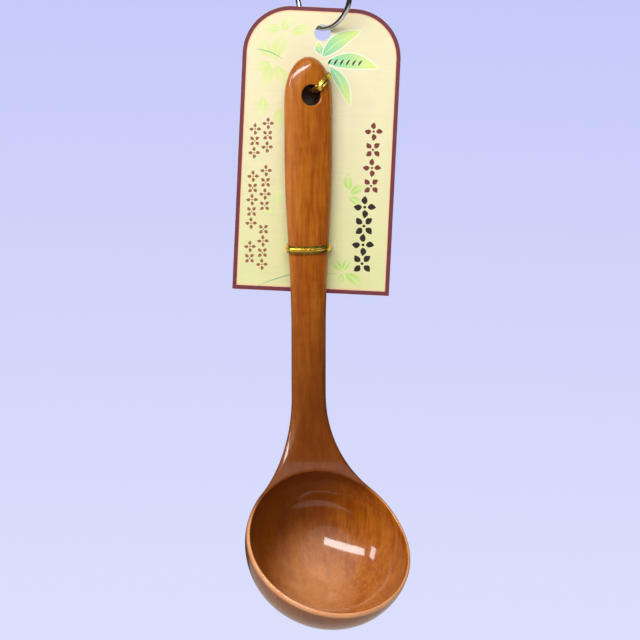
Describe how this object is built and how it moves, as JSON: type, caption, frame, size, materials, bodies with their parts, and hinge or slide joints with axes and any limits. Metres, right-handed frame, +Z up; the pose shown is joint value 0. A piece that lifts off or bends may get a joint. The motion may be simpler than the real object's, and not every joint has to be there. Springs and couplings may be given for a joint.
{
  "type": "wooden ladle on hang card",
  "caption": "Carved wooden soup ladle with a round deep bowl, tied by foil twist ties to a paperboard hang card that swings on a wire S-hook.",
  "frame": {"origin": "inner top of the hook's upper bend, where the wire rests on the rail that holds it", "axes": "+Z up along the hanging object, front of the card and hollow of the bowl towards -Y, +X to the viewer's right"},
  "size_m": [0.0917, 0.0837, 0.3635],
  "materials": {
    "hook_wire": "polished plating",
    "printed_card": "coated board, printed on the front",
    "lacquered_wood": "clear gloss lacquer over reddish-brown wood",
    "tie_core": "drawn wire",
    "gold_foil": "bright metallised film, gold"
  },
  "bodies": {
    "hook": {"hook": "hook_wire"},
    "hung_ladle": {"card": "printed_card", "ladle": "lacquered_wood", "upper_tie_wire": "tie_core", "upper_tie_outer_foil": "gold_foil", "upper_tie_inner_foil": "gold_foil", "waist_tie_wire": "tie_core", "waist_tie_outer_foil": "gold_foil", "waist_tie_inner_foil": "gold_foil"}
  },
  "joints": [
    {"name": "card_swing", "type": "hinge", "parent": "hook", "child": "hung_ladle", "pos_m": [0, 0, -0.06967], "axis": [0, 1, 0], "range_deg": [-18, 18]}
  ]
}
